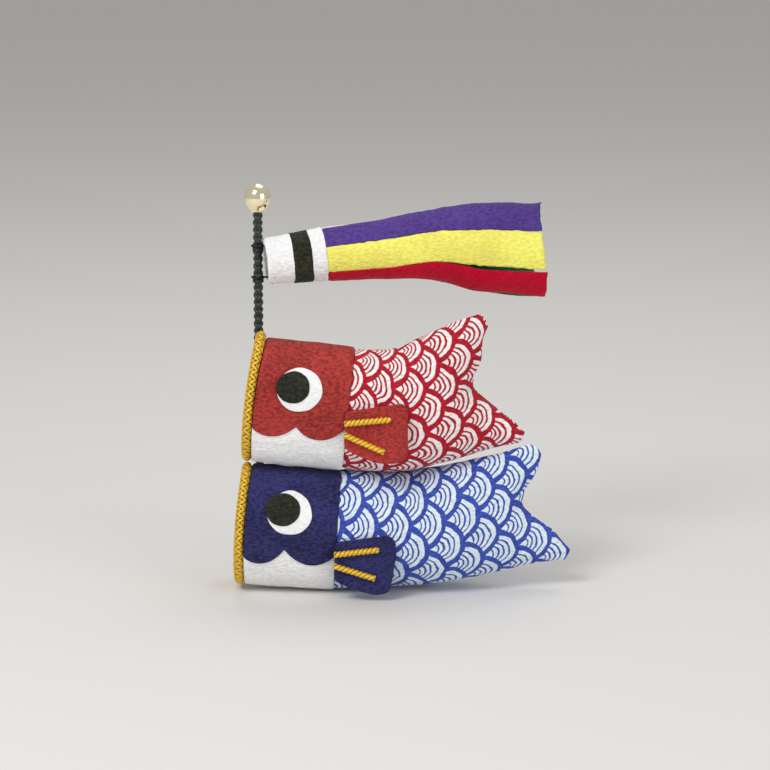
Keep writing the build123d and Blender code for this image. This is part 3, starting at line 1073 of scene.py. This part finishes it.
def rounded_outline(points, radius, count):
    """Places evenly round a polygon whose corners are rounded."""
    line = []
    for k, corner in enumerate(points):
        here = Vector(corner)
        before, after = Vector(points[k - 1]), Vector(points[(k + 1) % len(points)])
        back, on = before - here, after - here
        cut = min(radius, back.length * 0.45, on.length * 0.45)
        a, b = here + back.normalized() * cut, here + on.normalized() * cut
        line += [a * (1 - f) ** 2 + here * 2 * f * (1 - f) + b * f * f
                 for f in (0.0, 0.25, 0.5, 0.75, 1.0)]
    line.append(line[0])
    lengths = np.cumsum([0.0] + [(b - a).length for a, b in zip(line, line[1:])])
    wanted = np.linspace(0, lengths[-1], count + 1)
    return [(float(np.interp(w, lengths, [p.x for p in line])),
             float(np.interp(w, lengths, [p.y for p in line]))) for w in wanted]


def fin_y(x, z, seam_x):
    """How far out from the carp's middle plane the fin's middle layer is."""
    back = max(0.0, x - seam_x)
    return FIN_Y + FIN_CLOTH / 2 + 0.012 * back + rumple(x, 0, z, 9.0, 0.25)


# %% [markdown]
# The pad is spun out from the middle of the fin's outline. A twist needs only two strands that
# wind the same way, half a turn apart. Each fin is its own body, so its cords ride with it.

# %% Four fins with their cords
FIN_POINTS, FIN_CORNER = 120, 2.2
STRAND_OUT, STRAND_R = 0.6, 0.72
for name, carp in CARP.items():
    outline = rounded_outline(carp["fin"], FIN_CORNER, FIN_POINTS)
    cx = sum(p[0] for p in outline[:-1]) / FIN_POINTS
    cz = sum(p[1] for p in outline[:-1]) / FIN_POINTS
    for word, side in SIDES:
        def spot(r, h, v):
            x, z = outline[round(v * FIN_POINTS)]
            x, z = cx + (x - cx) * r, cz + (z - cz) * r
            out = fin_y(x, z, carp["seam_x"]) + h * FIN_CLOTH / 2 + rumple(x, z, side, 1.8, 0.07)
            return Vector((x, side * out, z))

        flap = pad(f"{name}_fin_{word}_cloth", carp["plain"], spot, rim=0.05,
                   around=FIN_POINTS, rings=12)
        body = f"{name}_{word}_fin"
        give(flap, body, f"{name}_fin_{word}", carp["plain_slot"])
        for number, (start, end) in enumerate(carp["fin_cords"]):
            places = []
            for f in (0.0, 0.35, 0.7, 1.0):
                x, z = start[0] + (end[0] - start[0]) * f, start[1] + (end[1] - start[1]) * f
                lie = fin_y(x, z, carp["seam_x"]) + FIN_CLOTH / 2 + 1.05
                places.append((x, side * lie, z))
            length = math.dist(start, end)
            twist = [(1, begin, STRAND_OUT, STRAND_R, 0.0, 0) for begin in (0.0, math.pi)]
            cord = plait(f"{name}_fin_cord_{word}_{number + 1}", GILT, route(places), (0, 1, 0),
                         twist, turns=length / TWIST_PITCH, steps=14, sides=2)
            give(cord, body, f"{name}_fin_cords_{word}", "gilt_cord")
print("fins made")

# %% [markdown]
# The pole is a thin rod inside a black silk braid of four strands. Black thread is whipped round it
# under each of the windsock's loops. The braid's round core stays inside the strands, so no gap
# between them shows the wood.

# %% Pole
POLE_X, POLE_Y = -35.2, 21.5


def upright(low, high):
    return route([(POLE_X, POLE_Y, low + (high - low) * f) for f in (0.0, 0.25, 0.5, 0.75, 1.0)])


low, high = (corner.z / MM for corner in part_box("pole_braid"))
core = [(0, 0.0, 0.0, 1.45, 0.0, 0)]
braid = plait("pole_black_braid", SILK_BLACK, upright(low, high - 2.2), (0, 1, 0),
              core + round_braid(4, 1.02, 0.9, 0.12), turns=(high - low - 2.2) / 5.9, steps=16,
              sides=2)
give(braid, "pole", "pole_braid", "black_braid")

lowest, highest = (corner.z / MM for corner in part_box("pole_whippings"))
wrap, whipping_high = [(1, 0.0, 2.1, 0.17, 0.0, 0)], 1.4
for number, bottom in enumerate((lowest, highest - whipping_high)):
    thread_turns = plait(f"pole_whipping_{number + 1}", SILK_BLACK,
                         upright(bottom, bottom + whipping_high), (0, 1, 0), wrap, turns=5,
                         steps=24)
    give(thread_turns, "pole", "pole_whippings", "black_braid")

# %% [markdown]
# A turned piece is its profile spun round the pole, given here as radius and height. The hollow in
# the bottom of the neck leaves room for the pole.

# %% Gilt ball
BALL_PROFILE = ((0.0, 161.72), (0.5, 161.75), (2.0, 161.3), (3.6, 160.3), (4.75, 158.7),
                (5.3, 156.8), (5.25, 154.9), (4.7, 153.2), (3.9, 151.8), (3.2, 151.0),
                (2.95, 150.7), (2.95, 150.4), (2.75, 150.2), (2.15, 150.2), (1.95, 150.6),
                (1.95, 152.2))
work = bmesh.new()
verts = [work.verts.new((POLE_X + r, POLE_Y, z)) for r, z in BALL_PROFILE]
edges = [work.edges.new(pair) for pair in zip(verts, verts[1:])]
bmesh.ops.spin(work, geom=verts + edges, cent=(POLE_X, POLE_Y, 0), axis=(0, 0, 1),
               angle=2 * math.pi, steps=48, use_merge=True)
bmesh.ops.remove_doubles(work, verts=work.verts, dist=1e-4)
bmesh.ops.scale(work, vec=(MM, MM, MM), verts=work.verts)
bmesh.ops.recalc_face_normals(work, faces=work.faces)
ball = finish_mesh(work, "pole_gilt_ball", BALL)
smooth = ball.modifiers.new("smooth", "SUBSURF")
smooth.levels = smooth.render_levels = 2
give(ball, "pole", "pole_ball", "gilt_ball")
print("pole made")

# %% [markdown]
# A strap of head cloth at the far side of each carp holds the pole: it is sewn to the head, goes
# round the pole and comes back. Seen from above it is one line, so the strap is that line raised
# upwards. It is loose enough for the pole to slide through.

# %% Sleeves on the pole
SLEEVE_HIGH, SLEEVE_R, NECK_HALF = 10.0, 2.65, 0.7
pole, sewn = Vector((POLE_X, POLE_Y)), Vector((-27.0, 12.0))
ahead = (sewn - pole).normalized()
aside = Vector((-ahead.y, ahead.x))
for name, carp in CARP.items():
    turns = [math.radians(a) for a in range(48, 313, 12)]
    loop = [sewn + aside * 0.45, pole + ahead * 4.2 + aside * NECK_HALF]
    loop += [pole + (ahead * math.cos(a) + aside * math.sin(a)) * SLEEVE_R for a in turns]
    loop += [pole + ahead * 4.2 - aside * NECK_HALF, sewn - aside * 0.45]
    plan = [p / MM for p in route([(p.x, p.y, 0) for p in loop])]
    along = len(plan) - 1

    def place(u, v):
        p = plan[round(u * along)]
        z = carp["sleeve"] + (v - 0.5) * SLEEVE_HIGH + rumple(p.x, p.y, 0, 3.0, 0.25)
        return Vector((p.x, p.y, z)) * MM

    strap = finish_mesh(cloth_grid(along, 12, place), name + "_pole_loop", carp["plain"])
    solid_cloth(strap, 0.5, offset=0.0)
    give(strap, name + "_carp", name + "_pole_sleeve", carp["plain_slot"])
print("sleeves made")

# %% [markdown]
# The windsock is a card tube under three bands of crepe, with six crepe ribbons fixed inside the
# last band. Its own frame has x away from the viewer, y up and s along it.

# %% Windsock bands
SOCK_YAW, SOCK_PITCH = math.radians(9), math.radians(6)
SOCK_MOUTH = Vector((-31.8, POLE_Y, 129.8))
SOCK_ALONG = Vector((math.cos(SOCK_YAW) * math.cos(SOCK_PITCH),
                     math.sin(SOCK_YAW) * math.cos(SOCK_PITCH), math.sin(SOCK_PITCH)))
SOCK_AWAY = Vector((-math.sin(SOCK_YAW), math.cos(SOCK_YAW), 0))
SOCK_UP = SOCK_ALONG.cross(SOCK_AWAY)
CARD_RADIUS, CARD_FLARE, CARD_LENGTH = 8.3, 1.6, 23.4


def sock_point(away, up, along):
    return SOCK_MOUTH + SOCK_AWAY * away + SOCK_UP * up + SOCK_ALONG * along


def dense(points, gap):
    """Adds places on a closed profile, so that cloth on it can rumple."""
    line = []
    for a, b in zip(points, points[1:] + points[:1]):
        steps = max(1, round(math.dist(a, b) / gap))
        line += [(a[0] + (b[0] - a[0]) * k / steps, a[1] + (b[1] - a[1]) * k / steps)
                 for k in range(steps)]
    return line + line[:1]


def sock_band(name, material, profile, wave):
    """Spins a closed profile of (along, height over the card) round the windsock."""
    line = dense(profile, 0.6)
    last = len(line) - 1

    def place(u, v):
        s, lift = line[round(u * last)]
        angle = 2 * math.pi * v
        away, up = math.cos(angle), math.sin(angle)
        s += wave * noise.noise(Vector((away * 2, up * 2, s / 9 + wave * 7)))
        radius = CARD_RADIUS + CARD_FLARE * s / CARD_LENGTH + lift
        p = sock_point(away * radius, up * radius, s)
        bump = rumple(p.x, p.y, p.z, 5.0, 0.30) + rumple(p.x, p.y, p.z, 1.9, 0.12)
        out = sock_point(away, up, 0) - SOCK_MOUTH
        return (p + out * (bump if lift > 0.3 else 0.0)) * MM

    return finish_mesh(cloth_grid(last, 110, place), name, material)


# %% [markdown]
# A band is a closed profile spun round the card. The mouth band turns in over the card's edge,
# which a plain strip would leave bare. The cloth is rumpled only where it stands off the card.

# %% Three bands
MOUTH_BAND = ((10.5, 0.05), (10.5, 0.8), (10.3, 0.95), (0.3, 0.95), (-0.2, 0.75), (-0.5, 0.2),
              (-0.5, -0.5), (-0.2, -0.95), (0.3, -1.1), (4.0, -1.05), (4.0, -0.65), (0.0, -0.65),
              (-0.1, -0.2), (0.0, 0.05))
BLACK_BAND = ((10.2, 0.1), (10.1, 0.95), (10.3, 1.15), (17.5, 1.15), (17.7, 0.95), (17.6, 0.1))
INNER_BAND = ((17.3, 0.05), (17.3, 0.95), (23.2, 0.95), (23.5, 0.75), (23.5, 0.45), (22.0, 0.05))
for word, material, profile, slot, wave in (
    ("mouth", WHITE, MOUTH_BAND, "white_crepe", 0.25),
    ("black", BLACK, BLACK_BAND, "black_crepe", 0.5),
    ("inner", WHITE, INNER_BAND, "white_crepe", 0.35),
):
    band = sock_band(f"windsock_{word}_cloth", material, list(profile), wave)
    give(band, "windsock", "windsock_band_" + word, slot)
print("bands made")

# %% [markdown]
# Six ribbons leave the last band side by side round an oval, which opens and sags towards their
# tips. Each row gives how far along the windsock it is, how far the oval has dropped, its half
# width, its half height, and how far the ribbons have turned round it, as a share of its girth.

# %% Ribbon measures
RIBBONS = (("purple", PURPLE, "purple_crepe"), ("yellow", YELLOW, "yellow_crepe"),
           ("red", CRIMSON, "crimson_crepe"), ("green", GREEN, "green_crepe"),
           ("blue", SKY, "sky_crepe"), ("white", WHITE, "white_crepe"))
RIBBON_FIRST, RIBBON_START, RIBBON_END = 0.1375, 21.8, 111.2
RIBBON_ROWS = ((21.8, 0.0, 9.9, 9.9, 0.014), (23.7, 0.0, 9.9, 9.9, 0.014),
               (45.4, 0.9, 10.4, 11.0, 0.022), (67.0, 1.9, 11.0, 13.4, 0.034),
               (87.3, 5.6, 11.2, 17.3, 0.040), (111.2, 9.85, 11.4, 18.45, 0.042))
# How much further than the others a ribbon's lower and upper corner reach, and how its lower and
# upper edge leave the even share, in millimetres at (along, lower, upper).
CORNERS = {"purple": (0.5, 3.4), "yellow": (0.5, 0.3), "red": (0.6, 0.9), "green": (-0.5, -1.5),
           "blue": (0.0, -0.5), "white": (-0.5, 0.5)}
EDGES = {
    "purple": ((21.0, 0.0, 0.0), (112.0, 0.0, 0.0)),
    "yellow": ((21.0, 0.0, 0.0), (50.0, 0.0, 0.0), (67.0, 0.9, 0.0), (80.0, 1.0, 0.0),
               (112.0, 0.2, 0.0)),
    "red": ((21.0, 0.0, 0.0), (50.0, 0.0, 0.0), (70.0, 0.0, 0.9), (76.0, 0.0, 0.5),
            (86.0, 0.0, -0.6), (112.0, 0.0, -0.7)),
}
# %% [markdown]
# Equal angles round an oval would make some ribbons wider than others. Equal shares of its girth
# keep them the same width. The cloth is a grid bent on to the oval, with slow waves that grow
# towards the free end, and ragged long edges.

# %% Ribbon
LEVELS = np.linspace(0, 2 * math.pi, 361)


def oval_angle(wide, high, share):
    """The angle at which a share of an oval's girth is reached."""
    middle = (LEVELS[1:] + LEVELS[:-1]) / 2
    steps = np.hypot(wide * np.sin(middle), high * np.cos(middle))
    lengths = np.concatenate([[0.0], np.cumsum(steps)])
    return float(np.interp((share % 1.0) * lengths[-1], lengths, LEVELS))


def edge_shift(colour, s):
    rows = EDGES.get(colour, EDGES["purple"])
    along = [row[0] for row in rows]
    return [float(np.interp(s, along, [row[k] for row in rows])) for k in (1, 2)]


def ribbon(index, name, material):
    share0 = RIBBON_FIRST - index / 6
    colour = RIBBONS[index][0]
    lower, upper = CORNERS[colour]

    def place(u, v):
        end = RIBBON_END + lower + (upper - lower) * v * v
        s = RIBBON_START + (end - RIBBON_START) * u
        drop, wide, high, turn = through(RIBBON_ROWS, min(s, 111.2))
        girth = math.pi * (wide + high)
        free = min(max((s - 24.0) / 60.0, 0.0), 1.0)
        reach = 0.5 / 6 - 0.06 / girth
        ragged = rumple(s, index * 7 + round(v) * 3, 0, 2.2, 0.35) / girth * min(1.0, free * 4)
        low_shift, high_shift = edge_shift(colour, s)
        shift = (low_shift * (1 - v) + high_shift * v) / girth
        angle = oval_angle(wide, high, share0 + turn + reach * (2 * v - 1) + ragged + shift)
        tucked = max(0.0, min(1.0, (s - 23.3) / 1.6))
        lift = 0.45 + 0.4 * tucked * tucked
        waves = rumple(s, v * 16, index * 5, 15.0, 0.9) + rumple(s, v * 16, index, 4.0, 0.2)
        lift += free * waves
        lift += rumple(s, v * 16, index * 3, 1.7, 0.08)
        if colour == "white":
            lift -= 1.3 * free * (1 - math.exp(-((s - 70.0) / 7.0) ** 2))
        edge = u * 0.35 * rumple(v * 16, index, 0, 3.0, 1.0)
        return sock_point(-(wide + lift) * math.cos(angle), (high + lift) * math.sin(angle) - drop,
                          s + edge) * MM

    made = finish_mesh(cloth_grid(96, 22, place), name, material)
    area = sum(f.area for f in made.data.polygons)
    return solid_cloth(made, 0.45, offset=-1.0), area


# %% [markdown]
# A ribbon bends where it leaves the band. Each tail is built in place and stands for its
# ribbon's plain solid.

# %% Six ribbons
for index, (colour, material, slot) in enumerate(RIBBONS):
    tail, area = ribbon(index, colour + "_ribbon_tail", material)
    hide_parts("ribbon_" + colour)
    start, end = (sock_point(0, 0, s) * MM for s in (23.0, 31.0))
    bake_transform(tail)
    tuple(start)
    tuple(end)
    print(tail.name, "area", round(area * 1e6), "mm2")

# %% [markdown]
# A few plain solids still show or lie inside: the pole's core and foot, the card, the thread
# loops, the weight bag and the padding. They keep their shapes and get finishes of their own.

# %% Look of the hidden and kept nodes
KEPT = {
    "pole_core": WOOD, "pole_foot": DIP, "windsock_card": CARD, "windsock_loops": SILK_BLACK,
    "blue_weight_bag": SAND,
}
for node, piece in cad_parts.items():
    if node in KEPT:
        piece.data.materials.clear()
        piece.data.materials.append(KEPT[node])
    elif node.endswith("padding"):
        piece.data.materials.clear()
        piece.data.materials.append(WADDING)

# %% [markdown]
# The floor and the lights only serve the picture. Broad soft lamps suit cloth, because a small one
# would give every pucker a hard shadow. The key lamp stands high on the left, and the other two
# lift the shadows.

# %% Floor and light
FLOOR_SIZE, FLOOR_Z, STUDIO_GLOW = 3.0, -0.0003, 0.42
floor_work = bmesh.new()
bmesh.ops.create_grid(floor_work, x_segments=1, y_segments=1, size=FLOOR_SIZE)
floor_finish = Finish("floor", Roughness=0.9, Base_Color=(0.78, 0.77, 0.75, 1.0))
floor = finish_mesh(floor_work, "floor", floor_finish.material, smooth=False)
for vert in floor.data.vertices:
    vert.co.z = FLOOR_Z
floor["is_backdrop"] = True

world = bpy.data.worlds.new("studio")
bpy.context.scene.world = world
world.use_nodes = True
world.node_tree.nodes["Background"].inputs[0].default_value = (1.0, 0.99, 0.97, 1.0)
world.node_tree.nodes["Background"].inputs[1].default_value = STUDIO_GLOW


def soft_light(name, place, size, power, aim=AIM):
    lamp = bpy.data.lights.new(name, "AREA")
    lamp.size, lamp.energy = size, power
    made = bpy.data.objects.new(name, lamp)
    bpy.context.scene.collection.objects.link(made)
    made.location = place
    made.rotation_mode = "QUATERNION"
    made.rotation_quaternion = (Vector(place) - aim).to_track_quat("Z", "Y")


soft_light("key", (-0.55, -0.75, 0.95), 0.5, 8.0)
soft_light("fill", (0.8, -0.8, 0.35), 0.7, 3.0)
soft_light("top", (0.1, 0.4, 1.0), 0.6, 2.4)

# %% [markdown]
# The imported part's box and the finished pieces' box are set side by side in the last value.

# %% Sizes and the end
low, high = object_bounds()
{"cad": [list(cad_low), list(cad_high)], "visual": [list(low), list(high)]}
